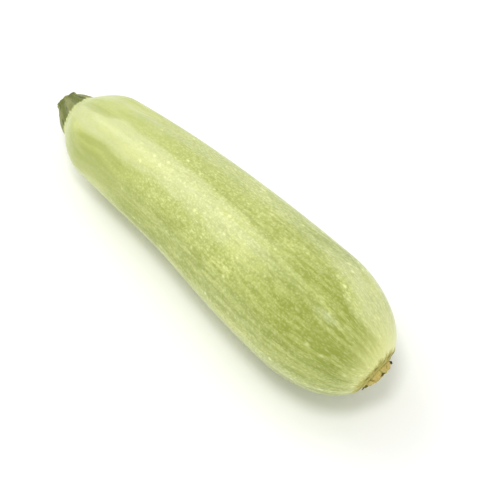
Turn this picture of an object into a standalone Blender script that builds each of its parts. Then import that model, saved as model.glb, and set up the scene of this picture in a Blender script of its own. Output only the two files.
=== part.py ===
"""A pale green zucchini as picked, lying on its side: the fruit, its cut stem and its blossom scar.

Metres, +Z up. +X runs from the stem to the blossom end and the fruit's slight bend bulges
towards +Y. The belly rests on z = 0, and the origin is under the middle of the whole thing.

Each piece is first turned around the X axis as a plain round body. Its points are then moved
by a rule that adds the ribs, the lobes and the bend. Angles around the fruit start at +Y and
turn towards +Z, so that the back of the lying fruit is at 90 degrees.
"""

import math

import bmesh
import bpy
from mathutils import Matrix, Vector

# Fruit, between the flat seats of the stem and of the scar
FRUIT_LENGTH = 0.183
NECK_RADIUS = 0.0182
THICKEST_RADIUS = 0.0290
TAPER_LENGTH = 0.192
TAPER_POWER = 0.64

# The axis bends sideways, more so towards the stem, and the belly rocks up towards both ends
BEND = 0.0039
BEND_TOWARDS_STEM = 0.0027
BELLY_CURVE = 0.0030
BELLY_LOWEST_AT = 0.03
FLAT_DEPTH = 0.0005

# Rounded ends: how far each one reaches along the fruit, how square it is, and its flat seat
SHOULDER_LENGTH = 0.0183
SHOULDER_POWER = 1.6
STEM_SEAT_RADIUS = 0.0055
DOME_LENGTH = 0.0401
DOME_POWER = 1.91
SCAR_SEAT_RADIUS = 0.0070

# Over its last stretch the axis dips and swings, so that the scar's seat looks down and to +Y
SCAR_DIP = math.radians(14.4)
SCAR_SWING = math.radians(7.0)
SCAR_TURN_LENGTH = 0.024

# Ribs: ten soft ones, every second of them stronger and in line with a ridge of the stem
STRONG_RIBS = 5
RIB_ANGLE = math.radians(108)
RIB_HEIGHT = 0.00050
RIB_HEIGHT_AT_STEM = 0.00080
RELIEF_FADE = 0.022

# Swell: a slow unevenness of the girth on one side
SWELL_HEIGHT = 0.0004
SWELL_LENGTH = 0.080
SWELL_FROM = 0.075
SWELL_SIDE = math.radians(205)

# Stem: it leans sideways from its seat on, and its cut is slanted both ways
STEM_LENGTH = 0.0104
STEM_BASE_RADIUS = 0.0113
STEM_CUT_RADIUS = 0.0042
STEM_FLARE = 1.23
STEM_RIDGE_SHARPNESS = 1.2
STEM_HOLLOW_AT_BASE = 0.30
STEM_HOLLOW_AT_CUT = 0.20
STEM_LEAN_ACROSS = 0.0045
STEM_LEAN_UP = -0.0006
STEM_LEAN_POWER = 1.1
CUT_SLANT_ACROSS = 0.21
CUT_SLANT_UP = 0.37

# Blossom scar: a corky pad with a raised rim round a shallow pit
SCAR_RADIUS = 0.0065
SCAR_HEIGHT = 0.0026
SCAR_RIM_RADIUS = 0.0044
SCAR_PIT_EDGE_RADIUS = 0.0034
SCAR_PIT_EDGE_HEIGHT = 0.0022
SCAR_PIT_RADIUS = 0.0026
SCAR_PIT_HEIGHT = 0.0014
SCAR_CORNERS = 0.05

# Side of the scar from its foot up: share of its height, and share of its radius
SCAR_SIDE = ((0.0, 0.94), (0.25, 1.0), (0.55, 0.95), (0.85, 0.84))

# Colours, and how rough each surface is
SKIN_COLOUR = "C8D383"
SKIN_ROUGHNESS = 0.42
STEM_COLOUR = "8C9058"
STEM_ROUGHNESS = 0.6
CORK_COLOUR = "AE9550"
CORK_ROUGHNESS = 0.8

# Clearance between touching pieces, and how finely each piece is divided
GAP = 0.0003
FRUIT_SIDES = 60
FRUIT_RINGS = 46
STEM_SIDES = 40
STEM_RINGS = 14
STEM_UNDER_RINGS = 6
SCAR_SIDES = 40
WELD = 1e-6
HALVINGS = 30
CREASE = math.radians(50)
ACROSS = Vector((0, 1, 0))
UP = Vector((0, 0, 1))


def smooth_step(value):
    """Rise from 0 to 1 as value goes from 0 to 1, level at both ends."""
    value = min(max(value, 0.0), 1.0)
    return value * value * (3 - 2 * value)


def rounding(depth, reach, power):
    """Share of the full radius at a depth behind the flat seat of a rounded end."""
    rest = max(1 - depth / reach, 0.0)
    return (1 - rest ** power) ** (1 / power)


def body_radius(along):
    """Radius of the long taper, before its two ends are rounded."""
    growth = smooth_step((along / TAPER_LENGTH) ** TAPER_POWER)
    return NECK_RADIUS + (THICKEST_RADIUS - NECK_RADIUS) * growth


def skin_radius(along):
    """Radius of the round fruit at a distance along it from the stem's seat."""
    full = body_radius(along)
    shoulder = rounding(along, SHOULDER_LENGTH, SHOULDER_POWER)
    dome = rounding(FRUIT_LENGTH - along, DOME_LENGTH, DOME_POWER)
    stem_side = STEM_SEAT_RADIUS + (full - STEM_SEAT_RADIUS) * shoulder
    blossom_side = SCAR_SEAT_RADIUS + (full - SCAR_SEAT_RADIUS) * dome
    return min(stem_side, blossom_side)


def shoulder_drop(radius):
    """How far the shoulder lies behind the stem's seat at a distance from the seat's centre."""
    near, far = 0.0, SHOULDER_LENGTH
    for _ in range(HALVINGS):
        middle = (near + far) / 2
        if skin_radius(middle) < radius:
            near = middle
        else:
            far = middle
    return near


def direction(heading, dip):
    """Unit vector turned from +X towards +Y by its heading, and then down by its dip."""
    level = math.cos(dip)
    return Vector((math.cos(heading) * level, math.sin(heading) * level, -math.sin(dip)))


def axis_frame(along):
    """Centre of the fruit's section, and its directions: forward on the axis, sideways and up.

    The axis bends sideways, and is as high as lays the belly on z = 0. Its last stretch is turned to
    the scar's seat, more and more, about the place where that stretch starts.
    """
    place = 2 * along / FRUIT_LENGTH - 1
    sideways = (1 - place ** 2) * (BEND - BEND_TOWARDS_STEM * place)
    height = body_radius(along) + BELLY_CURVE * (place - BELLY_LOWEST_AT) ** 2 - FLAT_DEPTH
    slope = -2 * BEND * place - BEND_TOWARDS_STEM * (1 - 3 * place ** 2)
    heading = math.atan(slope * 2 / FRUIT_LENGTH)
    beyond = max(along - FRUIT_LENGTH + SCAR_TURN_LENGTH, 0.0)
    turned = smooth_step(beyond / SCAR_TURN_LENGTH)
    forward = direction(heading + SCAR_SWING * turned, SCAR_DIP * turned)
    centre = Vector((along, sideways, height)) + beyond * (forward - direction(heading, 0.0))
    side = direction(heading + SCAR_SWING * turned + math.pi / 2, 0.0)
    return centre, forward, side, forward.cross(side)


def relief(along, angle):
    """Height of the ribs and the swell over the round fruit; both fade at the seats."""
    turn = angle - RIB_ANGLE
    ribs = (math.cos(STRONG_RIBS * turn) + math.cos(2 * STRONG_RIBS * turn)) / 2
    towards_stem = 1 - smooth_step(2 * along / FRUIT_LENGTH)
    ribs *= RIB_HEIGHT + (RIB_HEIGHT_AT_STEM - RIB_HEIGHT) * towards_stem
    swell = -SWELL_HEIGHT * math.cos(math.tau * (along - SWELL_FROM) / SWELL_LENGTH)
    swell *= (1 + math.cos(angle - SWELL_SIDE)) / 2
    fade = smooth_step(along / RELIEF_FADE) * smooth_step((FRUIT_LENGTH - along) / RELIEF_FADE)
    return fade * (ribs + swell)


def around(centre, radius, angle, side=ACROSS, up=UP):
    """The point at a radius and an angle around a centre, in the plane of two directions."""
    return centre + radius * (math.cos(angle) * side + math.sin(angle) * up)


def turned_body(profile, sides, place_point):
    """Spin (along, radius) points around X, then move each point by place_point(along, radius, angle)."""
    shape = bmesh.new()
    points = [shape.verts.new((along, radius, 0.0)) for along, radius in profile]
    edges = [shape.edges.new(pair) for pair in zip(points, points[1:])]
    bmesh.ops.spin(shape, geom=points + edges, cent=(0, 0, 0), axis=(1, 0, 0),
                   angle=math.tau, steps=sides, use_merge=True)
    bmesh.ops.remove_doubles(shape, verts=shape.verts, dist=WELD)
    for point in shape.verts:
        along, across, up = point.co
        point.co = place_point(along, math.hypot(across, up), math.atan2(up, across))
    bmesh.ops.recalc_face_normals(shape, faces=shape.faces)
    return shape


def cut_rest_spot(shape):
    """Cut the belly off level at z = 0, which leaves the small flat spot that the fruit rests on."""
    cut = bmesh.ops.bisect_plane(shape, geom=shape.verts[:] + shape.edges[:] + shape.faces[:],
                                 plane_co=(0, 0, 0), plane_no=(0, 0, -1), clear_outer=True)
    rim = [item for item in cut["geom_cut"] if isinstance(item, bmesh.types.BMEdge)]
    for edge in rim:
        for point in edge.verts:
            point.co.z = 0.0
    bmesh.ops.edgeloop_fill(shape, edges=rim)
    bmesh.ops.recalc_face_normals(shape, faces=shape.faces)


def colour_from_hex(code):
    """Linear colour with full alpha from an sRGB code such as 'C8D383'."""
    channels = [int(code[place:place + 2], 16) / 255 for place in (0, 2, 4)]
    linear = [c / 12.92 if c <= 0.04045 else ((c + 0.055) / 1.055) ** 2.4 for c in channels]
    return (*linear, 1.0)


def plain_material(name, code, roughness):
    """A Principled material with one colour, and no metal in it."""
    material = bpy.data.materials.new(name)
    material.use_nodes = True
    shader = material.node_tree.nodes["Principled BSDF"]
    shader.inputs["Base Color"].default_value = colour_from_hex(code)
    shader.inputs["Roughness"].default_value = roughness
    shader.inputs["Metallic"].default_value = 0.0
    material.diffuse_color = colour_from_hex(code)
    return material


def finished_piece(name, shape, material):
    """Turn a shape into a named object, shaded smooth except at its creases."""
    mesh = bpy.data.meshes.new(name)
    shape.to_mesh(mesh)
    shape.free()
    mesh.materials.append(material)
    mesh.shade_smooth()
    mesh.set_sharp_from_angle(angle=CREASE)
    piece = bpy.data.objects.new(name, mesh)
    bpy.context.scene.collection.objects.link(piece)
    return piece


def set_on_axis(piece, along, gap):
    """Stand a piece on the fruit's axis, turned with it and moved on along it by a gap."""
    centre, forward, side, up = axis_frame(along)
    piece.rotation_euler = Matrix((forward, side, up)).transposed().to_euler()
    piece.location = centre + gap * forward
    return piece


def make_fruit():
    """The fruit: a long taper with rounded ends, soft ribs, a slight bend and a flat spot below."""
    profile = [(0.0, 0.0)]
    for ring in range(FRUIT_RINGS + 1):
        along = FRUIT_LENGTH * (1 - math.cos(math.pi * ring / FRUIT_RINGS)) / 2
        profile.append((along, skin_radius(along)))
    profile.append((FRUIT_LENGTH, 0.0))

    def place_point(along, radius, angle):
        height = relief(along, angle) if radius > WELD else 0.0
        centre, _, side, up = axis_frame(along)
        return around(centre, radius + height, angle, side, up)

    shape = turned_body(profile, FRUIT_SIDES, place_point)
    cut_rest_spot(shape)
    return finished_piece("fruit", shape, plain_material("pale green skin", SKIN_COLOUR, SKIN_ROUGHNESS))


def make_stem():
    """The stem: five ridges that run out in lobes on the shoulder, and a slanted cut."""
    profile = [(0.0, 0.0)]
    for ring in range(STEM_UNDER_RINGS):
        outwards = (ring / STEM_UNDER_RINGS) ** 0.5
        profile.append((0.0, STEM_SEAT_RADIUS / 2 + (STEM_BASE_RADIUS - STEM_SEAT_RADIUS / 2) * outwards))
    for ring in range(STEM_RINGS + 1):
        away = ring / STEM_RINGS
        flare = (1 - away) ** STEM_FLARE
        radius = STEM_CUT_RADIUS + (STEM_BASE_RADIUS - STEM_CUT_RADIUS) * flare
        profile.append((STEM_LENGTH * away, radius))
    profile.append((STEM_LENGTH, 0.0))

    def place_point(along, radius, angle):
        away = along / STEM_LENGTH
        depth = STEM_HOLLOW_AT_BASE + (STEM_HOLLOW_AT_CUT - STEM_HOLLOW_AT_BASE) * away
        groove = abs(math.sin(STRONG_RIBS * (angle - RIB_ANGLE) / 2)) ** STEM_RIDGE_SHARPNESS
        grooved = radius * (1 - depth * groove)
        lean = away ** STEM_LEAN_POWER
        centre = Vector((-along, STEM_LEAN_ACROSS * lean, STEM_LEAN_UP * lean))
        point = around(centre, grooved, angle)
        slant = CUT_SLANT_ACROSS * (point.y - centre.y) + CUT_SLANT_UP * (point.z - centre.z)
        point.x += shoulder_drop(grooved) * (1 - away) ** 2 + slant * away ** 2
        return point

    shape = turned_body(profile, STEM_SIDES, place_point)
    stem = finished_piece("stem", shape, plain_material("olive stem", STEM_COLOUR, STEM_ROUGHNESS))
    return set_on_axis(stem, 0.0, -GAP)


def make_blossom_scar():
    """The scar that the flower left: a corky pad, slightly five-cornered, with a rim and a pit."""
    profile = [(0.0, 0.0)]
    profile += [(SCAR_HEIGHT * high, SCAR_RADIUS * wide) for high, wide in SCAR_SIDE]
    profile += [
        (SCAR_HEIGHT, SCAR_RIM_RADIUS),
        (SCAR_PIT_EDGE_HEIGHT, SCAR_PIT_EDGE_RADIUS),
        (SCAR_PIT_HEIGHT, SCAR_PIT_RADIUS),
        (SCAR_PIT_HEIGHT, 0.0),
    ]

    def place_point(along, radius, angle):
        corners = math.cos(STRONG_RIBS * (angle - RIB_ANGLE))
        return around(Vector((along, 0, 0)), radius * (1 + SCAR_CORNERS * corners), angle)

    shape = turned_body(profile, SCAR_SIDES, place_point)
    scar = finished_piece("blossom_scar", shape, plain_material("corky scar", CORK_COLOUR, CORK_ROUGHNESS))
    return set_on_axis(scar, FRUIT_LENGTH, GAP)


def centre_over_origin(pieces):
    """Hang the pieces on one empty, and move it so that the middle of them all is over the origin."""
    bpy.context.view_layer.update()
    points = [piece.matrix_world @ point.co for piece in pieces for point in piece.data.vertices]
    middle_x = (min(p.x for p in points) + max(p.x for p in points)) / 2
    middle_y = (min(p.y for p in points) + max(p.y for p in points)) / 2
    whole = bpy.data.objects.new("zucchini", None)
    bpy.context.scene.collection.objects.link(whole)
    for piece in pieces:
        piece.parent = whole
    whole.location = (-middle_x, -middle_y, 0.0)


def main():
    for old in list(bpy.data.objects):
        bpy.data.objects.remove(old)
    centre_over_origin([make_fruit(), make_stem(), make_blossom_scar()])


main()
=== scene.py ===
"""A pale green zucchini on a white table: its skin, its cut stem and its blossom scar.

Metres, +Z up. +X runs from the stem to the blossom end and the fruit's slight bend bulges
towards +Y. Angles around the fruit start at +Y and turn towards +Z, so its back is at 90 degrees.
The fine pieces made here stand in the places of the solids that the frame holds.
"""

import math
from functools import partial

import bpy
import numpy as np
from bpy.props import FloatProperty, FloatVectorProperty, IntProperty, PointerProperty
from mathutils import Matrix, Vector, noise


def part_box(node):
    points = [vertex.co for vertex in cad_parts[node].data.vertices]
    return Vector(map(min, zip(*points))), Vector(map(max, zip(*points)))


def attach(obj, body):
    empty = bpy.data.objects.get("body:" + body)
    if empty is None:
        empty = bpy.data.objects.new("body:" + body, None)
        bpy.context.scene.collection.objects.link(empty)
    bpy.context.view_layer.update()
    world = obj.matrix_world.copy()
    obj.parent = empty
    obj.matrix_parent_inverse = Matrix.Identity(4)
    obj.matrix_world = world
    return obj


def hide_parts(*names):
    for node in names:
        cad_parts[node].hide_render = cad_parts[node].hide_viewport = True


bl_info = {
    "name": "Pale zucchini",
    "version": (1, 0, 0),
    "blender": (4, 5, 0),
    "location": "3D View > Sidebar > Zucchini",
    "description": "Models a pale green zucchini with its stem, its blossom scar and a white table",
    "category": "Add Mesh",
}

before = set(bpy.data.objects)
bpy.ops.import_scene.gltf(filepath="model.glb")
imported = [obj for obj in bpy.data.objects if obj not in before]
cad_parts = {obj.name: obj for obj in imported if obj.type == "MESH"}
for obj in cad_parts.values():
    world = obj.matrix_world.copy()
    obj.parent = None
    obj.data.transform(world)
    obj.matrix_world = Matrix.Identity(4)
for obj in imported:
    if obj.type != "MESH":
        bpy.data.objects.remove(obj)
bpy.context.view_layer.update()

MM = 0.001


def colour(code):
    """Linear colour with full alpha from an sRGB hex code."""
    channels = [int(code[place:place + 2], 16) / 255 for place in (0, 2, 4)]
    linear = [c / 12.92 if c <= 0.04045 else ((c + 0.055) / 1.055) ** 2.4 for c in channels]
    return (*linear, 1.0)


def colour_choice(name, description, code):
    """A colour that can be changed in the sidebar."""
    return FloatVectorProperty(name=name, description=description, default=colour(code),
                               size=4, min=0.0, max=1.0, subtype="COLOR")


def length_choice(name, description, metres):
    """A length that can be changed in the sidebar."""
    return FloatProperty(name=name, description=description, default=metres,
                         subtype="DISTANCE", unit="LENGTH", precision=5)


def angle_choice(name, description, degrees):
    """An angle that can be changed in the sidebar."""
    return FloatProperty(name=name, description=description, default=math.radians(degrees),
                         subtype="ANGLE", unit="ROTATION")


def number_choice(name, description, number):
    """A plain number that can be changed in the sidebar."""
    return FloatProperty(name=name, description=description, default=number)


class ZUCCHINI_PG_fruit(bpy.types.PropertyGroup):
    """Sizes and colours of the fruit."""

    length: length_choice("Length", "From the seat of the stem to the seat of the scar", 0.183)
    neck: length_choice("Neck radius", "Radius at the stem end, before it is rounded", 0.0182)
    thickest: length_choice("Thickest radius", "Radius at the thickest place", 0.0290)
    taper: length_choice("Taper", "Length over which the neck grows to the thickest place", 0.192)
    taper_power: number_choice("Taper power", "Below 1 swells earlier", 0.64)
    bend: length_choice("Bend", "How far the middle of the axis stands out sideways", 0.0039)
    bend_to_stem: length_choice("Bend towards the stem", "How much more it bends near the stem", 0.0027)
    belly_curve: length_choice("Belly curve", "How far the belly rises towards both ends", 0.0030)
    belly_lowest: number_choice("Lowest place", "From -1 at the stem to 1 at the scar", 0.03)
    flat_depth: length_choice("Flat depth", "How deep the belly is cut level to rest on", 0.0005)
    shoulder: length_choice("Shoulder", "How far the rounding at the stem reaches", 0.0183)
    shoulder_power: number_choice("Shoulder power", "Higher is squarer", 1.6)
    stem_seat: length_choice("Stem seat", "Radius of the flat under the stem", 0.0055)
    dome: length_choice("Dome", "How far the rounding at the blossom end reaches", 0.0401)
    dome_power: number_choice("Dome power", "Higher is squarer", 1.91)
    scar_seat: length_choice("Scar seat", "Radius of the flat under the scar", 0.0070)
    scar_dip: angle_choice("Scar dip", "How far the scar's seat looks down", 14.4)
    scar_swing: angle_choice("Scar swing", "How far the scar's seat looks sideways", 7.0)
    scar_turn: length_choice("Scar turn", "Length over which the axis turns to the scar's seat", 0.024)
    rib: length_choice("Rib height", "Height of the soft ribs", 0.0005)
    rib_at_stem: length_choice("Rib height at the stem", "Height of the ribs on the neck", 0.0008)
    relief_fade: length_choice("Relief fade", "Length over which the ribs fade at both ends", 0.022)
    swell: length_choice("Swell", "Slow unevenness of the girth on one side", 0.0004)
    sides: IntProperty(name="Sides", default=110, min=12,
                       description="Points around the fruit before smoothing")
    rings: IntProperty(name="Rings", default=80, min=12,
                       description="Rings along the fruit before smoothing")
    # The pale skin also paints the sheen on the lower front edge and the light on the neck's lit side, and
    # the deep green the shade on the lower front flank
    pale: colour_choice("Pale skin", "Skin on the ribs", "CAD08F")
    green: colour_choice("Green skin", "Skin between the ribs", "B4BE66")
    deep: colour_choice("Deep green", "Streaks towards the blossom end", "88941C")
    fleck: colour_choice("Fleck", "The small pale flecks", "EBF0A9")
    yellow: colour_choice("Yellow", "Warm patches, and skin round the scar", "E9EB97")


class ZUCCHINI_PG_stem(bpy.types.PropertyGroup):
    """Sizes and colours of the stem."""

    length: length_choice("Length", "From the seat to the cut", 0.0104)
    base: length_choice("Base radius", "Radius of the ridges where they run out on the shoulder", 0.0113)
    cut: length_choice("Cut radius", "Radius of the ridges at the cut", 0.0042)
    flare: number_choice("Flare", "Higher keeps the stem slim for longer", 1.23)
    sharpness: number_choice("Ridge sharpness", "Lower makes the ridges sharper", 1.2)
    hollow_at_base: number_choice("Hollow at base", "Depth of the hollows", 0.30)
    hollow_at_cut: number_choice("Hollow at cut", "Depth of the hollows", 0.20)
    lean_across: length_choice("Lean sideways", "How far the cut stands out sideways", 0.0045)
    lean_up: length_choice("Lean up", "How far the cut stands higher than the seat", -0.0006)
    lean_power: number_choice("Lean power", "1 leans straight from the seat on", 1.1)
    slant_across: number_choice("Slant sideways", "Slope of the cut sideways", 0.21)
    slant_up: number_choice("Slant up", "Slope of the cut upwards", 0.37)
    ridge: colour_choice("Ridge", "Dry greyish green of the ridges", "898D52")
    flank: colour_choice("Flank", "Olive sides of the ridges", "868A4E")
    hollow: colour_choice("Hollow", "Deep olive of the hollows", "67702A")
    # The fold colour paints shade in the crease at the foot of each ridge, and stains on the cut face
    fold: colour_choice("Fold", "Dark line at the foot of each ridge", "4C5322")
    cut_face: colour_choice("Cut face", "The dried cut", "97926A")


class ZUCCHINI_PG_scar(bpy.types.PropertyGroup):
    """Sizes and colours of the blossom scar."""

    radius: length_choice("Radius", "Radius of the corky pad", 0.0065)
    height: length_choice("Height", "Height of the pad over the skin", 0.0026)
    rim: length_choice("Rim radius", "Where the rim is highest", 0.0044)
    pit_edge: length_choice("Pit edge radius", "Where the pit's wall starts", 0.0034)
    pit_edge_height: length_choice("Pit edge height", "How high the pit's wall starts", 0.0022)
    pit_radius: length_choice("Pit radius", "Radius of the pit's floor", 0.0026)
    pit_height: length_choice("Pit height", "Height of the pit's floor over the skin", 0.0014)
    corners: number_choice("Corners", "How far the five corners stand out", 0.05)
    lip: length_choice("Lip", "Height of the soft lip of skin round the pad", 0.0004)
    cork: colour_choice("Cork", "Tan cork of the pad", "CDB96A")
    collar: colour_choice("Collar", "Skin that turns to cork round the pad", "BDB761")
    # The dark cork also paints the shade in the groove round the pad and at the pad's foot
    bark: colour_choice("Dark cork", "Olive brown cork in the cracks and the groove", "746A1E")
    scrap: colour_choice("Scraps", "Dried dark scraps of the flower", "2E2718")


class ZUCCHINI_PG_stage(bpy.types.PropertyGroup):
    """The table, the light and the camera."""

    azimuth: angle_choice("Azimuth", "Camera's direction round the fruit", 47.87)
    elevation: angle_choice("Elevation", "Camera's height over the table", 55.93)
    distance: length_choice("Distance", "From the camera to the fruit", 0.85)
    lens: FloatProperty(name="Lens", default=147.24, subtype="DISTANCE_CAMERA",
                        description="Focal length")
    sky: number_choice("Sky", "Strength of the even light from all sides", 0.79)
    softbox: FloatProperty(name="Softbox", default=3.1, unit="POWER",
                           description="Power of the light over the stem's end")
    small_softbox: FloatProperty(name="Small softbox", default=2.4, unit="POWER",
                                 description="Power of the light over the blossom end")
    table: colour_choice("Table", "Colour of the table", "FBFBF9")


def smooth_step(value):
    """Rise from 0 to 1 as value goes from 0 to 1, level at both ends."""
    value = np.clip(value, 0.0, 1.0)
    return value * value * (3 - 2 * value)


def bell(off, width):
    """1 where off is 0, and less and less over a width to both sides."""
    return np.exp(-(off / width) ** 2)


def facing(angle, side):
    """1 at the angle of a side, and less and less round to 0 across from it."""
    return (1 + np.cos(angle - side)) / 2


def degrees_off(angle, middle):
    """How many degrees an angle lies off a middle that is given in degrees."""
    return np.abs((np.degrees(angle) - middle + 180) % 360 - 180)


def rounding(depth, reach, power):
    """Share of the full radius at a depth behind the flat seat of a rounded end."""
    rest = np.clip(1 - depth / reach, 0.0, 1.0)
    return (1 - rest ** power) ** (1 / power)


def body_radius(fruit, along):
    """Radius of the long taper, before its two ends are rounded."""
    growth = smooth_step((np.clip(along, 0.0, None) / fruit.taper) ** fruit.taper_power)
    return fruit.neck + (fruit.thickest - fruit.neck) * growth


def skin_radius(fruit, along):
    """Radius of the round fruit at a distance along it from the stem's seat."""
    full = body_radius(fruit, along)
    shoulder = rounding(along, fruit.shoulder, fruit.shoulder_power)
    dome = rounding(fruit.length - along, fruit.dome, fruit.dome_power)
    stem_side = fruit.stem_seat + (full - fruit.stem_seat) * shoulder
    blossom_side = fruit.scar_seat + (full - fruit.scar_seat) * dome
    return np.minimum(stem_side, blossom_side)


def shoulder_drop(fruit, radius):
    """How far the shoulder lies behind the stem's seat at a distance from the seat's centre."""
    steps = np.linspace(0.0, fruit.shoulder, 400)
    return np.interp(radius, skin_radius(fruit, steps), steps, left=0.0)


def direction(heading, dip):
    """Unit vectors turned from +X towards +Y by their heading, and then down by their dip."""
    level = np.cos(dip)
    return np.stack([np.cos(heading) * level, np.sin(heading) * level, -np.sin(dip)], -1)


def axis_frame(fruit, along):
    """Centres of the fruit's sections, and their directions: forward on the axis, sideways and up.

    The axis bends sideways, and is as high as lays the belly on z = 0. Its last stretch is turned to
    the scar's seat, more and more, about the place where that stretch starts.
    """
    along = np.asarray(along, float)
    place = 2 * along / fruit.length - 1
    sideways = (1 - place ** 2) * (fruit.bend - fruit.bend_to_stem * place)
    belly = fruit.belly_curve * (place - fruit.belly_lowest) ** 2
    height = body_radius(fruit, along) + belly - fruit.flat_depth
    slope = -2 * fruit.bend * place - fruit.bend_to_stem * (1 - 3 * place ** 2)
    heading = np.arctan(slope * 2 / fruit.length)
    beyond = np.maximum(along - fruit.length + fruit.scar_turn, 0.0)
    turned = smooth_step(beyond / fruit.scar_turn)
    forward = direction(heading + fruit.scar_swing * turned, fruit.scar_dip * turned)
    side = direction(heading + fruit.scar_swing * turned + math.pi / 2, np.zeros_like(heading))
    centre = np.stack([along, sideways, height], -1)
    centre = centre + beyond[..., None] * (forward - direction(heading, np.zeros_like(heading)))
    return centre, forward, side, np.cross(forward, side)


def skin_point(fruit, along, angle, radius):
    """Points at a distance along the fruit, an angle around it and a distance from its bent axis."""
    centre, _, side, up = axis_frame(fruit, along)
    return centre + radius[..., None] * (np.cos(angle)[..., None] * side + np.sin(angle)[..., None] * up)


# Five strong ribs, which the stem's ridges and the scar's corners follow, and a slow swell on one side
STRONG_RIBS = 5
RIB_ANGLE = math.radians(108)
SWELL_SIDE = math.radians(205)
SWELL_LENGTH = 80 * MM
SWELL_FROM = 75 * MM


def relief(fruit, along, angle):
    """Height of the ribs and of the swell over the round fruit; both fade at the seats."""
    turn = angle - RIB_ANGLE
    ribs = (np.cos(STRONG_RIBS * turn) + np.cos(2 * STRONG_RIBS * turn)) / 2
    towards_stem = 1 - smooth_step(2 * along / fruit.length)
    ribs = ribs * (fruit.rib + (fruit.rib_at_stem - fruit.rib) * towards_stem)
    swell = -fruit.swell * np.cos(math.tau * (along - SWELL_FROM) / SWELL_LENGTH)
    ends = smooth_step(along / fruit.relief_fade) * smooth_step((fruit.length - along) / fruit.relief_fade)
    return ends * (ribs + swell * facing(angle, SWELL_SIDE))


def seat_place(fruit):
    """Where the middle of the stem's seat lies, from where the frame holds the fruit's solid."""
    along, angle = np.meshgrid(np.linspace(0, fruit.length, 181), np.radians(np.arange(0, 360, 6)))
    skin = skin_point(fruit, along, angle, skin_radius(fruit, along) + relief(fruit, along, angle))
    middle = (skin.min(axis=(0, 1)) + skin.max(axis=(0, 1))) / 2
    low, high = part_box("fruit")
    return np.array([(low.x + high.x) / 2 - middle[0], (low.y + high.y) / 2 - middle[1], 0.0])


def start_ring(name, sides, radius, along):
    """Start a piece as one ring of points square to the X axis."""
    bpy.ops.object.select_all(action="DESELECT")
    bpy.ops.mesh.primitive_circle_add(vertices=sides, radius=radius, location=(along, 0, 0),
                                      rotation=(0.0, math.pi / 2, 0.0))
    piece = bpy.context.object
    piece.name = piece.data.name = name
    bpy.ops.object.transform_apply(location=True, rotation=True, scale=True)
    bpy.ops.object.mode_set(mode="EDIT")
    bpy.ops.mesh.select_all(action="SELECT")
    return piece


def draw_profile(name, sides, profile):
    """Draw a ring out along X through (along, radius) pairs, close its ends, and return the piece."""
    along, radius = profile[0]
    piece = start_ring(name, sides, radius, along)
    for along_next, radius_next in profile[1:]:
        bpy.ops.mesh.extrude_region_move(TRANSFORM_OT_translate={"value": (along_next - along, 0, 0)})
        growth = radius_next / radius
        bpy.ops.transform.resize(value=(1.0, growth, growth), center_override=(along_next, 0, 0))
        along, radius = along_next, radius_next
    close_piece()
    return piece


def close_piece():
    """Fill the open ends of the piece in edit mode, and leave edit mode with its faces outwards."""
    bpy.ops.mesh.select_all(action="SELECT")
    bpy.ops.mesh.fill_holes(sides=0)
    bpy.ops.mesh.normals_make_consistent(inside=False)
    bpy.ops.object.mode_set(mode="OBJECT")


def smooth_out(piece, levels):
    """Subdivide a piece smoothly, and keep the result."""
    divide = piece.modifiers.new("smooth", "SUBSURF")
    divide.levels = divide.render_levels = levels
    bpy.ops.object.modifier_apply(modifier=divide.name)


def points_of(piece):
    """All points of a piece as rows of x, y, z."""
    flat = np.empty(len(piece.data.vertices) * 3, np.float32)
    piece.data.vertices.foreach_get("co", flat)
    return flat.reshape(-1, 3).astype(float)


def move_points(piece, points):
    """Put all points of a piece where the rows say."""
    piece.data.vertices.foreach_set("co", points.astype(np.float32).ravel())
    piece.data.update()


def paint(piece, name, first, second, third):
    """Keep three numbers for each point, for the material to read."""
    kept = piece.data.attributes.new(name, "FLOAT_VECTOR", "POINT")
    rows = np.stack(np.broadcast_arrays(first, second, third), -1)
    kept.data.foreach_set("vector", rows.astype(np.float32).ravel())


def around_axis(points):
    """Distance along the X axis, angle around it and distance from it."""
    return points[:, 0], np.arctan2(points[:, 2], points[:, 1]), np.hypot(points[:, 1], points[:, 2])


def crumble(points, size, octaves=3):
    """Uneven noise of about -1 to 1 for each point, with lumps of a size in metres; same in each run."""
    return np.array([noise.fractal(Vector(point) / size, 1.0, 2.0, octaves) for point in points])


def set_on_axis(piece, fruit, along):
    """Stand a piece, made along X at the origin, on the fruit's axis, with its place in its mesh."""
    centre, forward, side, up = axis_frame(fruit, along)
    turn = Matrix((forward, side, up)).transposed().to_4x4()
    piece.data.transform(Matrix.Translation(Vector(centre + seat_place(fruit))) @ turn)
    piece.data.update()


def finish_piece(piece, material, crease):
    """Give a piece its material, its place in the frame and smooth shading except at its creases."""
    bpy.ops.object.select_all(action="DESELECT")
    piece.select_set(True)
    bpy.context.view_layer.objects.active = piece
    bpy.ops.object.shade_smooth_by_angle(angle=math.radians(crease))
    piece.data.materials.clear()
    piece.data.materials.append(material)
    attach(piece, "root")


def add_node(material, kind, inputs, output=0, **settings):
    """Add a shader node with its settings, and return one of its outputs.

    An input takes a value, or another node's output to link.
    """
    node = material.node_tree.nodes.new("ShaderNode" + kind)
    for name, value in settings.items():
        setattr(node, name, value)
    for socket, value in inputs.items():
        if isinstance(value, bpy.types.NodeSocket):
            material.node_tree.links.new(value, node.inputs[socket])
        else:
            node.inputs[socket].default_value = value
    return node.outputs[output]


def new_material(name, **shader_values):
    """A Principled material and its shader, with its constant values set on the shader's sockets."""
    material = bpy.data.materials.new(name)
    material.use_nodes = True
    shader = material.node_tree.nodes["Principled BSDF"]
    for socket, value in shader_values.items():
        shader.inputs[socket.replace("_", " ")].default_value = value
    return material, shader


def link_shader(material, shader, **outputs):
    """Link nodes' outputs to the sockets of a material's shader."""
    for socket, output in outputs.items():
        material.node_tree.links.new(output, shader.inputs[socket.replace("_", " ")])


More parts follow.
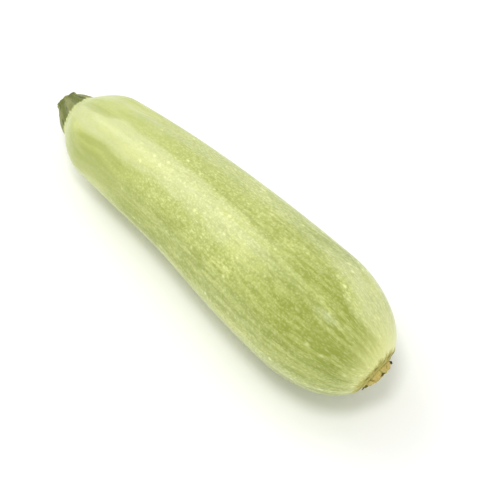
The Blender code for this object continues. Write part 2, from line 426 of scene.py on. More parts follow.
def per_mm(*sizes):
    """Scale of a pattern whose one unit is as long as each size in millimetres."""
    return tuple(1 / (size * MM) for size in sizes)


# Inputs by number: MapRange takes a value, the range that it comes from and the one that it goes to,
# and Mix takes a share, then numbers at 2 and 3 or colours at 6 and 7
SMOOTH = {"interpolation_type": "SMOOTHSTEP"}
COLOURS = {"data_type": "RGBA"}
PRODUCT = {"operation": "MULTIPLY", "use_clamp": True}

# Pale flecks of the skin: cell along and around in mm, reach in cells, share of cells, strength, and
# the ripeness from which and at which they show. The smallest are drawn coarser than the real ones,
# which are too fine to show
FLECKS = ((1.25, 0.9, 0.74, 1.0, 0.38, 0.05, 0.50),
          (3.0, 1.5, 0.44, 0.7, 0.55, 0.15, 0.60),
          (5.2, 4.0, 0.29, 0.6, 0.85, 0.05, 0.35))


def skin_material(fruit, scar):
    """Zucchini skin: living cells under thin wax, which gives a satin gloss that the flecks break up."""
    skin, shader = new_material("Waxy zucchini skin", IOR=1.45, Subsurface_Weight=0.12,
                                Subsurface_Radius=(1.0, 1.0, 0.4), Subsurface_Scale=0.002,
                                Coat_Roughness=0.31, Coat_IOR=1.45)
    add = partial(add_node, skin)
    grain = add("Attribute", {}, "Vector", attribute_name="skin_grain")
    tone = add("Attribute", {}, "Vector", attribute_name="skin_tone_and_painted_light")
    pale, deep, ripe = add("SeparateXYZ", {"Vector": tone}).node.outputs
    end = add("Attribute", {}, "Vector", attribute_name="skin_end")
    collar, groove, halo = add("SeparateXYZ", {"Vector": end}).node.outputs

    # Patches 2 cm long, streaks along the fruit, and a net that is drawn twice as coarse as the real
    # one, so that it shows
    rows = add("Mapping", {"Vector": grain, "Scale": per_mm(22, 10, 10)})
    patches = add("TexNoise", {"Vector": rows, "Scale": 1.0, "Detail": 2.0})
    rows = add("Mapping", {"Vector": grain, "Scale": per_mm(13, 1.9, 1.9)})
    streaks = add("TexNoise", {"Vector": rows, "Scale": 1.0, "Detail": 3.0, "Roughness": 0.6})
    rows = add("Mapping", {"Vector": grain, "Scale": per_mm(1.7, 0.9, 0.9)})
    net = add("TexNoise", {"Vector": rows, "Scale": 1.0, "Detail": 2.0, "Roughness": 0.6})

    # Pale ribs over green skin, with warm patches; the pale share also holds painted sheen on the lower
    # front edge and painted light on the lit side of the neck
    shift = add("MapRange", {0: patches, 1: 0.3, 2: 0.7, 3: -0.22, 4: 0.22}, **SMOOTH)
    share = add("Math", {0: pale, 1: shift}, operation="ADD")
    shift = add("MapRange", {0: streaks, 1: 0.36, 2: 0.62, 3: -0.75, 4: 0.25}, **SMOOTH)
    share = add("Math", {0: shift, 1: ripe, 2: share}, operation="MULTIPLY_ADD", use_clamp=True)
    base = add("Mix", {0: share, 6: fruit.green, 7: fruit.pale}, 2, **COLOURS)
    share = add("MapRange", {0: patches, 1: 0.5, 2: 0.3, 4: 0.25}, **SMOOTH)
    base = add("Mix", {0: share, 6: base, 7: fruit.yellow}, 2, **COLOURS)

    # Deep green that breaks up in streaks, with painted shade on the lower front flank, and dark pores
    # between the flecks
    shift = add("MapRange", {0: streaks, 1: 0.36, 2: 0.62, 3: -0.35, 4: 0.35}, **SMOOTH)
    share = add("Math", {0: shift, 1: ripe, 2: deep}, operation="MULTIPLY_ADD")
    share = add("MapRange", {0: share, 1: 0.05, 2: 0.95, 4: 0.9})
    base = add("Mix", {0: share, 6: base, 7: fruit.deep}, 2, **COLOURS)
    share = add("MapRange", {0: ripe, 1: 0.0, 2: 0.8, 3: 0.06, 4: 0.50}, **SMOOTH)
    pores = add("MapRange", {0: net, 1: 0.42, 2: 0.70}, **SMOOTH)
    share = add("Math", {0: share, 1: pores}, **PRODUCT)
    fewer = add("MapRange", {0: pale, 1: 0.2, 2: 0.9, 3: 1.0, 4: 0.25}, **SMOOTH)
    share = add("Math", {0: share, 1: fewer}, **PRODUCT)
    base = add("Mix", {0: share, 6: base, 7: fruit.deep}, 2, **COLOURS)

    # Flecks in three sizes, on cells whose rows wander by up to 1 mm
    rows = add("Mapping", {"Vector": grain, "Scale": per_mm(3.2, 2.4, 2.4)})
    wander = add("TexNoise", {"Vector": rows, "Scale": 1.0, "Detail": 1.0}, "Color")
    wander = add("VectorMath", {0: wander, 1: (2.2 * MM, 1.4 * MM, 1.4 * MM), 2: grain},
                 operation="MULTIPLY_ADD")
    flecks = None
    for along, around, reach, kept, strength, first, last in FLECKS:
        rows = add("Mapping", {"Vector": wander, "Scale": per_mm(along, around, around)})
        near = add("TexVoronoi", {"Vector": rows, "Scale": 1.0})
        chance = add("SeparateColor", {"Color": near.node.outputs["Color"]})
        chance = add("MapRange", {0: chance, 1: 1 - kept, 2: 1 - kept * 0.45}, **SMOOTH)
        spot = add("MapRange", {0: near, 1: reach, 2: reach * 0.12}, **SMOOTH)
        grown = add("MapRange", {0: ripe, 1: first, 2: last, 3: 0.08, 4: strength}, **SMOOTH)
        spot = add("Math", {0: spot, 1: grown}, **PRODUCT)
        spot = add("Math", {0: spot, 1: chance}, **PRODUCT)
        if flecks:
            spot = add("Math", {0: flecks, 1: spot}, operation="MAXIMUM")
        flecks = spot
    softer = add("MapRange", {0: deep, 1: 0.05, 2: 0.6, 3: 1.0, 4: 0.55}, **SMOOTH)
    flecks = add("Math", {0: flecks, 1: softer}, **PRODUCT)
    base = add("Mix", {0: flecks, 6: base, 7: fruit.fleck}, 2, **COLOURS)

    # Yellow halo, corky collar, and a groove round the scar darkened with brown cork and painted shade
    base = add("Mix", {0: halo, 6: base, 7: fruit.yellow}, 2, **COLOURS)
    ragged = add("MapRange", {0: net, 1: 0.3, 2: 0.7, 3: -0.35, 4: 0.35}, **SMOOTH)
    share = add("Math", {0: collar, 1: ragged}, operation="ADD")
    share = add("MapRange", {0: share, 1: 0.2, 2: 0.9}, **SMOOTH)
    base = add("Mix", {0: share, 6: base, 7: scar.collar}, 2, **COLOURS)
    base = add("Mix", {0: groove, 6: base, 7: scar.bark}, 2, **COLOURS)

    # Wax, duller on the streaks and missing on the collar, over slight waves, the net and the flecks
    rough = add("MapRange", {0: streaks, 1: 0.3, 2: 0.7, 3: 0.38, 4: 0.55}, **SMOOTH)
    rough = add("Mix", {0: share, 2: rough, 3: 0.8})
    wax = add("Mix", {0: share, 2: 0.7, 3: 0.0})
    rows = add("Mapping", {"Vector": grain, "Scale": per_mm(4.5, 2.6, 2.6)})
    waves = add("TexNoise", {"Vector": rows, "Scale": 1.0, "Detail": 3.0})
    bump = add("Bump", {"Height": waves, "Distance": 0.30 * MM})
    bump = add("Bump", {"Height": net, "Distance": 0.04 * MM, "Normal": bump})
    bump = add("Bump", {"Height": flecks, "Distance": 0.04 * MM, "Normal": bump})
    link_shader(skin, shader, Base_Color=base, Roughness=rough, Coat_Weight=wax, Normal=bump,
                Coat_Normal=bump)
    return skin


def stem_material(stem, fruit):
    """Cut stem: dull fibrous tissue, dry and greyish where it stands out and deep olive in its hollows."""
    tissue, shader = new_material("Fibrous green stem", Roughness=0.62, IOR=1.45)
    add = partial(add_node, tissue)
    grain = add("Attribute", {}, "Vector", attribute_name="stem_grain")
    tone = add("Attribute", {}, "Vector", attribute_name="stem_tone")
    hollow, cut, foot = add("SeparateXYZ", {"Vector": tone}).node.outputs

    # Fibres, drawn twice as thick as the real ones so that they show, and blots of dried sap
    rows = add("Mapping", {"Vector": grain, "Scale": per_mm(6.0, 0.6, 0.6)})
    fibres = add("TexNoise", {"Vector": rows, "Scale": 1.0, "Detail": 3.0, "Roughness": 0.6})
    rows = add("Mapping", {"Vector": grain, "Scale": per_mm(3.0, 1.8, 1.8)})
    blots = add("TexNoise", {"Vector": rows, "Scale": 1.0, "Detail": 3.0})

    # Flanks, hollows, blots and fibres, laid over the ridges' colour one by one
    base = stem.ridge
    for pattern, start, full, most, tint in ((hollow, 0.05, 0.4, 1.0, stem.flank),
                                             (hollow, 0.55, 0.95, 1.0, stem.hollow),
                                             (blots, 0.48, 0.72, 0.6, stem.hollow),
                                             (fibres, 0.5, 0.75, 0.5, stem.ridge)):
        share = add("MapRange", {0: pattern, 1: start, 2: full, 4: most}, **SMOOTH)
        base = add("Mix", {0: share, 6: base, 7: tint}, 2, **COLOURS)

    # Painted shade: a dark line in the fold where each ridge rises out of its hollow, broken up by the
    # blots
    fold = add("MapRange", {0: hollow, 1: 0.38, 2: 0.52}, **SMOOTH)
    past = add("MapRange", {0: hollow, 1: 0.80, 2: 0.60}, **SMOOTH)
    share = add("Math", {0: fold, 1: past}, **PRODUCT)
    past = add("MapRange", {0: blots, 1: 0.35, 2: 0.6, 3: 0.1, 4: 0.8}, **SMOOTH)
    share = add("Math", {0: share, 1: past}, **PRODUCT)
    base = add("Mix", {0: share, 6: base, 7: stem.fold}, 2, **COLOURS)

    # Skin creeps up the foot, and the cut is dry and stained
    ragged = add("MapRange", {0: fibres, 1: 0.3, 2: 0.7, 3: -0.3, 4: 0.3}, **SMOOTH)
    share = add("Math", {0: foot, 1: ragged}, operation="ADD")
    share = add("MapRange", {0: share, 1: 0.3, 2: 0.9}, **SMOOTH)
    base = add("Mix", {0: share, 6: base, 7: fruit.pale}, 2, **COLOURS)
    face = add("Mix", {0: blots, 6: stem.cut_face, 7: stem.fold}, 2, **COLOURS)
    base = add("Mix", {0: cut, 6: base, 7: face}, 2, **COLOURS)
    bump = add("Bump", {"Height": blots, "Distance": 0.3 * MM, "Strength": 0.8})
    bump = add("Bump", {"Height": fibres, "Distance": 0.15 * MM, "Normal": bump})
    link_shader(tissue, shader, Base_Color=base, Normal=bump)
    return tissue


def scar_material(scar):
    """Plant cork: dull and crumbly, tan where it is dry, olive brown in its cracks and pit, and with
    painted shade at its foot.
    """
    cork, shader = new_material("Corky blossom scar", Roughness=0.8, IOR=1.45)
    add = partial(add_node, cork)
    place = add("TexCoord", {}, "Object")
    tone = add("Attribute", {}, "Vector", attribute_name="scar_tone")
    cracks = add("SeparateXYZ", {"Vector": tone})
    rows = add("Mapping", {"Vector": place, "Scale": per_mm(0.8, 0.8, 0.8)})
    crumbs = add("TexNoise", {"Vector": rows, "Scale": 1.0, "Detail": 4.0, "Roughness": 0.65})
    rows = add("Mapping", {"Vector": place, "Scale": per_mm(2.4, 2.4, 2.4)})
    stains = add("TexNoise", {"Vector": rows, "Scale": 1.0, "Detail": 2.0})
    share = add("MapRange", {0: crumbs, 1: 0.42, 2: 0.72, 4: 0.5}, **SMOOTH)
    base = add("Mix", {0: share, 6: scar.cork, 7: scar.bark}, 2, **COLOURS)
    share = add("MapRange", {0: stains, 1: 0.45, 2: 0.7, 4: 0.5}, **SMOOTH)
    base = add("Mix", {0: share, 6: base, 7: scar.collar}, 2, **COLOURS)
    # The tone read here darkens the cracks and the pit, and paints shade at the pad's foot where it meets
    # the skin
    ragged = add("MapRange", {0: crumbs, 1: 0.3, 2: 0.7, 3: -0.3, 4: 0.3}, **SMOOTH)
    share = add("Math", {0: cracks, 1: ragged}, operation="ADD")
    share = add("MapRange", {0: share, 1: 0.1, 2: 0.9}, **SMOOTH)
    base = add("Mix", {0: share, 6: base, 7: scar.bark}, 2, **COLOURS)
    bump = add("Bump", {"Height": crumbs, "Distance": 0.3 * MM})
    link_shader(cork, shader, Base_Color=base, Normal=bump)
    return cork


def scrap_material(scar):
    """Dried petal: thin, brittle and almost black, with a dull surface."""
    petal, shader = new_material("Dried petal scraps", Roughness=0.75, IOR=1.45)
    add = partial(add_node, petal)
    place = add("TexCoord", {}, "Object")
    rows = add("Mapping", {"Vector": place, "Scale": per_mm(0.5, 0.5, 0.5)})
    crumbs = add("TexNoise", {"Vector": rows, "Scale": 1.0, "Detail": 3.0})
    tone = add("Attribute", {}, "Vector", attribute_name="scrap_tone")
    dark = add("SeparateXYZ", {"Vector": tone})
    share = add("MapRange", {0: crumbs, 1: 0.45, 2: 0.7, 3: 1.0, 4: 0.5}, **SMOOTH)
    share = add("Math", {0: dark, 1: share}, **PRODUCT)
    base = add("Mix", {0: share, 6: scar.bark, 7: scar.scrap}, 2, **COLOURS)
    bump = add("Bump", {"Height": crumbs, "Distance": 0.15 * MM})
    link_shader(petal, shader, Base_Color=base, Normal=bump)
    return petal


# Pale ribs, and painted sheen along the lower front edge: angle and half width in degrees, then in mm
# from the stem where each starts, is full, begins to fade and is gone, and its strength. One that fades
# from 300 on runs to the blossom end
PALE_AND_SHEEN_BANDS = (
    (108, 21, -9, 22, 108, 150, 1.0),
    (66, 15, -9, -1, 25, 55, 0.45),
    (60, 20, 125, 160, 300, 400, 1.3),
    (34, 16, 140, 168, 300, 400, 1.3),
    (78, 9, 150, 172, 300, 400, 0.9),
    (48, 20, 30, 60, 80, 120, 0.2),
    (2, 18, 0, 40, 300, 400, 0.5),
    (324, 20, 0, 20, 300, 400, 0.8),
    (288, 16, 80, 140, 300, 400, 0.6),
    (252, 22, 0, 20, 120, 170, 0.9),
    (216, 16, 90, 150, 300, 400, 0.5),
    # Painted reflection: the two bands at 174 degrees lighten the lower front edge with a sheen of the
    # white surroundings
    (174, 16, 100, 115, 155, 170, 0.6),
    (174, 16, -9, 10, 30, 60, 0.5),
)

# Deep green furrows, and painted shade on the lower front flank, in the same terms
DEEP_AND_SHADE_BANDS = (
    (124, 42, 100, 150, 300, 400, 0.66),
    (121, 12, 122, 155, 300, 400, 0.95),
    (93, 12, 100, 152, 300, 400, 0.66),
    (147, 14, 115, 150, 300, 400, 0.74),
    # Painted shade: the bands at 158 and 172 degrees darken the lower front flank, and the one at 172 is a
    # painted shadow over its middle
    (158, 28, 30, 60, 300, 400, 0.48),
    (158, 26, 3, 14, 40, 60, 0.46),
    (172, 16, 30, 56, 84, 104, 0.62),
    (132, 7, 8, 18, 40, 62, 0.4),
    (92, 7, 2, 8, 18, 30, 0.34),
    (88, 9, 50, 90, 300, 400, 0.3),
    (76, 9, 100, 130, 146, 164, 0.42),
    (52, 20, 105, 130, 140, 160, 0.4),
    (18, 13, 100, 150, 300, 400, 0.6),
    (342, 13, 100, 150, 300, 400, 0.8),
    (306, 14, 110, 150, 300, 400, 0.7),
    (270, 13, 100, 145, 300, 400, 0.8),
    (234, 14, 110, 150, 300, 400, 0.7),
    (199, 12, 110, 150, 300, 400, 0.6),
)


def banded(bands, along, angle, sharpness):
    """Strength of lengthwise bands at places on the skin; a higher sharpness gives harder edges."""
    strength = np.zeros_like(along)
    for middle, half_width, start, full, fades, gone, most in bands:
        off = degrees_off(angle, middle)
        grown = smooth_step((along / MM - start) / (full - start))
        grown *= smooth_step((gone - along / MM) / (gone - fades))
        strength = np.maximum(strength, most * grown * smooth_step(sharpness * (1 - off / half_width)))
    return strength


# Rings on the seat under the scar, as shares of its radius, so that the skin can rise in a lip there
RINGS_UNDER_SCAR = (0.95, 0.90, 0.84, 0.6)

# Distances over the skin from the scar's rim, in mm: a lip, a ragged groove and a lower lip beyond it
LIP_AT, GROOVE_AT, LOW_LIP_AT = 0.4, 2.6, 4.2

# Radius at which the skin's patterns are laid out, so that they keep their size all along the fruit
SKIN_GRAIN_RADIUS = 0.026

# Sides on which the pale skin at the stem, kept to the lit side as painted light, and the yellow halo
# round the scar are widest
STEM_END_LIT_SIDE = math.radians(75)
SUNNY_SIDE = math.radians(56)


class ZUCCHINI_OT_fruit(bpy.types.Operator):
    """Model the fruit: a long taper drawn out ring by ring, with soft ribs and a flat spot to rest on"""

    bl_idname = "zucchini.fruit"
    bl_label = "Fruit"

    def execute(self, context):
        fruit, scar = context.scene.zucchini_fruit, context.scene.zucchini_scar
        along = fruit.length * (1 - np.cos(np.pi * np.arange(fruit.rings + 1) / fruit.rings)) / 2
        profile = [*zip(along.tolist(), skin_radius(fruit, along).tolist())]
        profile += [(fruit.length, fruit.scar_seat * share) for share in RINGS_UNDER_SCAR]
        piece = draw_profile("zucchini_skin", fruit.sides, profile)
        smooth_out(piece, levels=1)
        self.shape_skin(fruit, scar, piece)

        # Cut off what lies below z = 0, which leaves the flat spot that the fruit rests on
        bpy.ops.object.mode_set(mode="EDIT")
        bpy.ops.mesh.select_all(action="SELECT")
        bpy.ops.mesh.bisect(plane_co=(0, 0, 0), plane_no=(0, 0, 1), clear_inner=True, use_fill=True,
                            threshold=1e-7)
        bpy.ops.object.mode_set(mode="OBJECT")
        finish_piece(piece, skin_material(fruit, scar), crease=60)
        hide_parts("fruit")
        return {"FINISHED"}

    def walk_skin(self, fruit, along, radius):
        """Distances over the skin: from the rim of the stem's seat, and to the rim of the scar's in mm."""
        steps = np.linspace(0, fruit.length, 2000)
        profile = skin_radius(fruit, steps)
        walked = np.concatenate([[0.0], np.cumsum(np.hypot(np.diff(steps), np.diff(profile)))])
        travelled = np.interp(along, steps, walked)
        travelled -= np.where(along < MM, np.clip(fruit.stem_seat - radius, 0, None), 0)
        travelled += np.where(along > fruit.length - MM, np.clip(fruit.scar_seat - radius, 0, None), 0)
        return travelled, (walked[-1] - travelled) / MM

    def shape_skin(self, fruit, scar, piece):
        """Bend the straight body, raise its ribs and the lips round the scar, and tint it by place, with
            painted shade and painted sheen among the tints.
        """
        along, angle, radius = around_axis(points_of(piece))
        travelled, to_scar = self.walk_skin(fruit, along, radius)
        uneven = crumble(points_of(piece), 2.2 * MM)
        to_groove = to_scar - GROOVE_AT - 0.9 * uneven

        skin = skin_point(fruit, along, angle, radius + relief(fruit, along, angle))
        lips = bell(to_scar - LIP_AT, 1.0) + 0.6 * bell(to_scar - LOW_LIP_AT - 0.6 * uneven, 1.0)
        raised = scar.lip * (lips * (1 + 0.5 * uneven) - 0.7 * bell(to_groove, 0.8))
        forward = axis_frame(fruit, along)[1]
        move_points(piece, skin + raised[:, None] * forward + seat_place(fruit))
        even = SKIN_GRAIN_RADIUS
        paint(piece, "skin_grain", travelled, even * np.cos(angle), even * np.sin(angle))

        # Bands that wander a little, pale skin round the stem kept to its lit side as painted light, and
        # streaks that grow with ripeness
        wander = math.radians(7) * crumble(points_of(piece), 20 * MM)
        pale = banded(PALE_AND_SHEEN_BANDS, along, angle + wander, sharpness=2.0)
        near_stem = 0.55 * smooth_step((np.cos(angle - STEM_END_LIT_SIDE) + 0.4) / 0.8)
        pale = np.maximum(pale, near_stem * (1 - smooth_step(along / MM / 9)))
        near_scar = smooth_step((to_scar - 3) / 14)
        deep = banded(DEEP_AND_SHADE_BANDS, along, angle + wander, sharpness=1.7) * near_scar
        ripe = smooth_step((along / MM - 8) / 110)
        paint(piece, "skin_tone_and_painted_light", pale, deep, ripe)

        # Corky collar, groove darkened with brown cork and painted shade, and yellow halo round the scar
        collar = 1 - smooth_step((to_scar - 3.9 - 1.6 * uneven) / 3.6)
        groove = bell(to_groove, 1.5) * np.clip(0.45 + 1.4 * uneven, 0, 1)
        sunny = facing(angle, SUNNY_SIDE)
        halo = (0.20 + 0.65 * sunny) * (1 - smooth_step((to_scar - 2) / (5 + 20 * sunny)))
        paint(piece, "skin_end", collar, groove, halo)


# Points round the stem, rings up its side, and rings that close its cut: shares of length and radius
STEM_SIDES, STEM_RINGS = 60, 24
CUT_RINGS = ((1.0, 0.97), (0.995, 0.90), (0.97, 0.78), (0.94, 0.55), (0.92, 0.25))

# Depth of the stem's foot in the skin, radius at which its patterns are laid out, fibres on a ridge
STEM_SUNK = 0.9 * MM
STEM_GRAIN_RADIUS = 0.006
FIBRES_ON_A_RIDGE = 6


class ZUCCHINI_OT_stem(bpy.types.Operator):
    """Model the stem: five ridges that run out in lobes on the shoulder, and a slanted dried cut"""

    bl_idname = "zucchini.stem"
    bl_label = "Stem"

    def execute(self, context):
        fruit, stem = context.scene.zucchini_fruit, context.scene.zucchini_stem
        profile = [(-STEM_SUNK, stem.base)]
        for step in range(STEM_RINGS + 1):
            away = step / STEM_RINGS
            radius = stem.cut + (stem.base - stem.cut) * (1 - away) ** stem.flare
            profile.append((stem.length * away, radius))
        for away, share in CUT_RINGS:
            profile.append((stem.length * away, stem.cut * share))
        piece = draw_profile("zucchini_stem", STEM_SIDES, profile)
        smooth_out(piece, levels=2)
        self.press_ridges(fruit, stem, piece)
        set_on_axis(piece, fruit, 0.0)
        finish_piece(piece, stem_material(stem, fruit), crease=50)
        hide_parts("stem")
        return {"FINISHED"}

    def press_ridges(self, fruit, stem, piece):
        """Press in the hollows between the ridges, lean the stem, slant its cut and lay its foot down."""
        along, angle, radius = around_axis(points_of(piece))
        uneven = crumble(points_of(piece), 1.6 * MM)
        away = np.clip(along / stem.length, 0, 1)
        outer = stem.cut + (stem.base - stem.cut) * (1 - away) ** stem.flare
        depth = stem.hollow_at_base + (stem.hollow_at_cut - stem.hollow_at_base) * away
        turn = angle - RIB_ANGLE
        hollow = np.abs(np.sin(STRONG_RIBS * turn / 2)) ** stem.sharpness
        fibres = 0.12 * MM * np.cos(STRONG_RIBS * FIBRES_ON_A_RIDGE * turn) * smooth_step(away * 4)
        brim = 0.4 * MM * smooth_step((away - 0.80) / 0.1) * (1 + 0.8 * uneven)
        wall = smooth_step((radius / outer - 0.6) / 0.3)
        grooved = radius * (1 - depth * hollow) + wall * (fibres + brim + 0.18 * MM * uneven)
        lean = away ** stem.lean_power
        across, up = grooved * np.cos(angle), grooved * np.sin(angle)
        slant = stem.slant_across * across + stem.slant_up * up
        x = -along + (shoulder_drop(fruit, grooved) + 0.1 * MM) * (1 - away) ** 2 + slant * away ** 2
        x -= 0.25 * MM * uneven * smooth_step((away - 0.9) / 0.1)
        move_points(piece, np.stack([x, across + stem.lean_across * lean, up + stem.lean_up * lean], -1))
        piece.data.flip_normals()
        even = STEM_GRAIN_RADIUS
        paint(piece, "stem_grain", along, even * np.cos(angle), even * np.sin(angle))
        face = (1 - smooth_step((radius / outer - 0.86) / 0.1)) * smooth_step((away - 0.85) / 0.05)
        foot = 1 - smooth_step(away / 0.17)
        paint(piece, "stem_tone", hollow, face, foot)


# Points round the scar, and the side on which it is thinnest
SCAR_SIDES = 48
THIN_SIDE = math.radians(206)

# Cracks in the scar's rim: angle round it, width in degrees and depth in mm
CRACKS = ((15, 9, 0.5), (62, 7, 0.5), (100, 9, 0.4), (152, 8, 0.6), (206, 8, 0.4), (250, 10, 0.6),
          (318, 12, 0.6))


class ZUCCHINI_OT_scar(bpy.types.Operator):
    """Model the scar that the flower left: a cracked corky pad with a pit in its middle"""

    bl_idname = "zucchini.scar"
    bl_label = "Blossom scar"

    def execute(self, context):
        fruit, scar = context.scene.zucchini_fruit, context.scene.zucchini_scar
        radius, height = scar.radius, scar.height
        pit_floor = scar.pit_height * 0.85

        # Height over the skin and radius of each ring, from the foot over the rim to the pit's floor
        profile = [(-0.6 * MM, radius * 0.97), (0.0, radius * 0.98), (height * 0.25, radius),
                   (height * 0.55, radius * 0.95), (height * 0.85, radius * 0.84), (height, scar.rim),
                   (scar.pit_edge_height, scar.pit_edge), (scar.pit_height, scar.pit_radius),
                   (pit_floor, scar.pit_radius / 2), (pit_floor, scar.pit_radius / 5)]
        piece = draw_profile("zucchini_blossom_scar", SCAR_SIDES, profile)
        smooth_out(piece, levels=2)
        self.crack(scar, piece)
        set_on_axis(piece, fruit, fruit.length)
        finish_piece(piece, scar_material(scar), crease=60)
        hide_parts("blossom_scar")
        return {"FINISHED"}

    def crack(self, scar, piece):
        """Give the pad its five corners, its lumps, its cracks and its crumbly edge."""
        points = points_of(piece)
        along, angle, radius = around_axis(points)
        high = np.clip(along / scar.height, 0, 1)
        corners = 1 + scar.corners * np.cos(STRONG_RIBS * (angle - RIB_ANGLE))
        lumps, crumbs = crumble(points, 2.4 * MM), crumble(points, 0.9 * MM)
        cracks = np.zeros_like(radius)
        for middle, width, depth in CRACKS:
            near = smooth_step(1 - degrees_off(angle, middle) / width)
            cracks = np.maximum(cracks, depth * near)
        cracks = cracks * smooth_step((radius / scar.radius - 0.3) / 0.25)
        grown = radius * corners * (1 + 0.015 * crumbs + 0.05 * lumps - 0.08 * cracks)
        thinner = 0.35 * facing(angle, THIN_SIDE) ** 3 * radius / scar.radius
        x = along * (1 - thinner) + high * MM * (0.2 + 0.10 * crumbs + 0.35 * lumps - cracks)
        move_points(piece, np.stack([x, grown * np.cos(angle), grown * np.sin(angle)], -1))
        pit = 1 - smooth_step((radius - 0.7 * scar.pit_radius) / scar.pit_radius)
        # Painted shade at the pad's foot, where it meets the skin
        foot = 0.35 * (1 - smooth_step(along / scar.height / 0.3))
        paint(piece, "scar_tone", np.maximum(np.maximum(cracks, 0.7 * pit), foot), 0.0, 0.0)


# Dried scraps round the scar: angle, then in mm distance from its middle, height, size along its axis,
# outwards and around it, and how dark it is
SCRAPS = ((22, 6.9, 1.4, 1.5, 1.2, 1.2, 1.0), (204, 7.2, 0.5, 0.6, 3.4, 1.5, 0.1),
          (212, 6.3, 0.9, 0.6, 2.2, 1.2, 0.1), (318, 5.6, 1.3, 0.9, 1.2, 1.4, 0.8),
          (99, 4.4, 2.5, 0.9, 1.3, 2.8, 0.6))


# How far off in metres the noise is read that shifts a scrap's points in each direction
NOISE_PLACES = (0.0, 0.1, 0.2)


class ZUCCHINI_OT_scraps(bpy.types.Operator):
    """Model the dried scraps of the flower that still cling to the scar"""

    bl_idname = "zucchini.scraps"
    bl_label = "Dried scraps"

    def execute(self, context):
        fruit, scar = context.scene.zucchini_fruit, context.scene.zucchini_scar
        pieces = []
        for turn, away, height, *sizes, darkness in SCRAPS:
            bpy.ops.object.select_all(action="DESELECT")
            angle = math.radians(turn)
            place = Vector((height, away * math.cos(angle), away * math.sin(angle))) * MM
            bpy.ops.mesh.primitive_ico_sphere_add(subdivisions=4, radius=0.5 * MM, location=place,
                                                  rotation=(angle, 0, 0), scale=sizes)
            bpy.ops.object.transform_apply(location=True, rotation=True, scale=True)
            points = points_of(context.object)
            rumpled = np.stack([crumble(points + far, 0.7 * MM, octaves=1) for far in NOISE_PLACES], -1)
            move_points(context.object, points + 0.25 * MM * rumpled)
            paint(context.object, "scrap_tone", np.full(len(points), darkness), 0.0, 0.0)
            pieces.append(context.object)
        for scrap in pieces:
            scrap.select_set(True)
        bpy.ops.object.join()
        piece = context.object
        piece.name = piece.data.name = "zucchini_dried_scraps"
        set_on_axis(piece, fruit, fruit.length)
        finish_piece(piece, scrap_material(scar), crease=60)
        return {"FINISHED"}


# Softboxes: where each hangs and the length of its sides, in metres
STEM_END_SOFTBOX = ((-0.72, -0.03, 0.85), 0.65)
BLOSSOM_END_SOFTBOX = ((0.15, -0.21, 0.90), 0.22)

# How far to the right of the fruit's middle, and above it, the camera aims, in metres
AIM_RIGHT, AIM_UP = 0.01143, 0.01195


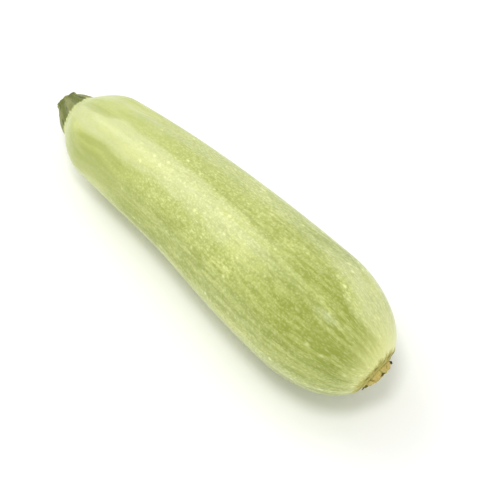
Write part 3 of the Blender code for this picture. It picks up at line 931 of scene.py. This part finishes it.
class ZUCCHINI_OT_stage(bpy.types.Operator):
    """Lay the white table, set the soft light overhead and aim the camera"""

    bl_idname = "zucchini.stage"
    bl_label = "Table, light and camera"

    def execute(self, context):
        stage = context.scene.zucchini_stage
        bpy.ops.object.select_all(action="DESELECT")
        bpy.ops.mesh.primitive_plane_add(size=6.0, location=(0, 0, -0.05 * MM))
        table = context.object
        table.name = table.data.name = "white_table"
        bpy.ops.object.transform_apply(location=True, rotation=True, scale=True)
        material, shader = new_material("Matt white table", Roughness=0.9)
        shader.inputs["Base Color"].default_value = tuple(stage.table)
        shader.inputs["Specular IOR Level"].default_value = 0.1
        table.data.materials.append(material)

        world = bpy.data.worlds.new("Even white sky")
        world.use_nodes = True
        sky = world.node_tree.nodes["Background"]
        sky.inputs["Color"].default_value = (1.0, 1.0, 1.0, 1.0)
        sky.inputs["Strength"].default_value = stage.sky
        context.scene.world = world

        self.hang_softbox("softbox_stem_end", *STEM_END_SOFTBOX, stage.softbox)
        self.hang_softbox("softbox_blossom_end", *BLOSSOM_END_SOFTBOX, stage.small_softbox)
        context.scene.view_settings.view_transform = "Standard"
        self.aim_camera(context, stage)
        return {"FINISHED"}

    def hang_softbox(self, name, place, size, power):
        """Hang a square softbox that looks at the fruit."""
        bpy.ops.object.light_add(type="AREA", location=place)
        softbox = bpy.context.object
        softbox.name = name
        softbox.data.size = size
        softbox.data.energy = power
        softbox.rotation_euler = softbox.location.to_track_quat("Z", "Y").to_euler()

    def aim_camera(self, context, stage):
        """Stand the camera off the fruit's middle, and turn it a little to frame the whole fruit."""
        azimuth, elevation = stage.azimuth, stage.elevation
        back = Vector((math.sin(azimuth) * math.cos(elevation), -math.cos(azimuth) * math.cos(elevation),
                       math.sin(elevation)))
        right = Vector((math.cos(azimuth), math.sin(azimuth), 0))
        up = back.cross(right)
        fruit = context.scene.zucchini_fruit
        middle = Vector(seat_place(fruit)) + Vector((fruit.length / 2, 0, 0))
        stand = middle + back * stage.distance
        aim = middle + right * AIM_RIGHT + up * AIM_UP
        bpy.ops.object.camera_add(location=stand)
        camera = context.object
        camera.name = "camera"
        towards = (stand - aim).normalized()
        sideways = up.cross(towards).normalized()
        upwards = towards.cross(sideways)
        camera.rotation_euler = Matrix((sideways, upwards, towards)).transposed().to_euler()
        camera.data.lens = stage.lens
        camera.data.sensor_width = 36.0
        camera.data.clip_start = 0.01
        camera.data.clip_end = 50.0
        context.scene.camera = camera


class ZUCCHINI_PT_pieces(bpy.types.Panel):
    """Lists what can be modelled, with its sizes and colours"""

    bl_idname = "ZUCCHINI_PT_pieces"
    bl_label = "Pale zucchini"
    bl_space_type = "VIEW_3D"
    bl_region_type = "UI"
    bl_category = "Zucchini"

    def draw(self, context):
        for step in STEPS:
            self.layout.operator(step.bl_idname)
        for group_name in GROUPS:
            box = self.layout.box()
            box.label(text=group_name.replace("_", " ").capitalize())
            group = getattr(context.scene, group_name)
            for choice in group.bl_rna.properties:
                if choice.identifier not in ("rna_type", "name"):
                    box.prop(group, choice.identifier)


STEPS = (ZUCCHINI_OT_fruit, ZUCCHINI_OT_stem, ZUCCHINI_OT_scar, ZUCCHINI_OT_scraps, ZUCCHINI_OT_stage)
GROUPS = {"zucchini_fruit": ZUCCHINI_PG_fruit, "zucchini_stem": ZUCCHINI_PG_stem,
          "zucchini_scar": ZUCCHINI_PG_scar, "zucchini_stage": ZUCCHINI_PG_stage}
CLASSES = (*GROUPS.values(), *STEPS, ZUCCHINI_PT_pieces)


def register():
    """Make the pieces' operators, their sizes and their panel known to Blender."""
    for each in CLASSES:
        bpy.utils.register_class(each)
    for name, group in GROUPS.items():
        setattr(bpy.types.Scene, name, PointerProperty(type=group))


def unregister():
    """Take back what register did."""
    for name in GROUPS:
        delattr(bpy.types.Scene, name)
    for each in reversed(CLASSES):
        bpy.utils.unregister_class(each)


def main():
    """Model every piece and the stage."""
    register()
    bpy.ops.zucchini.fruit()
    bpy.ops.zucchini.stem()
    bpy.ops.zucchini.scar()
    bpy.ops.zucchini.scraps()
    bpy.ops.zucchini.stage()


if __name__ == "__main__":
    main()
